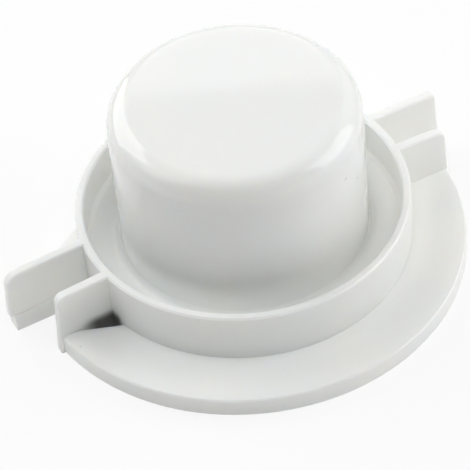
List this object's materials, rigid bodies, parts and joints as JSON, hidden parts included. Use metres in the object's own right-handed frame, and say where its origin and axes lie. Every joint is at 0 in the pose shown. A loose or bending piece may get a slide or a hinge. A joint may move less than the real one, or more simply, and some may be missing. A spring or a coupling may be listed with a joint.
{
  "type": "washing machine power button",
  "caption": "White moulded push-button cap standing in a ring collar, with a half-round front flange and paired guide ribs that slide on rails behind a control panel.",
  "frame": {"origin": "on the button axis, level with the underside of the flange", "axes": "+Z along the button axis towards the finger face, +X along the guide ribs, -Y towards the half-round flange"},
  "size_m": [0.0561, 0.0441, 0.023],
  "materials": {
    "white_plastic": "glossy moulded cap, satin collar and flange"
  },
  "bodies": {
    "root": {"power_button": "white_plastic"}
  },
  "joints": []
}
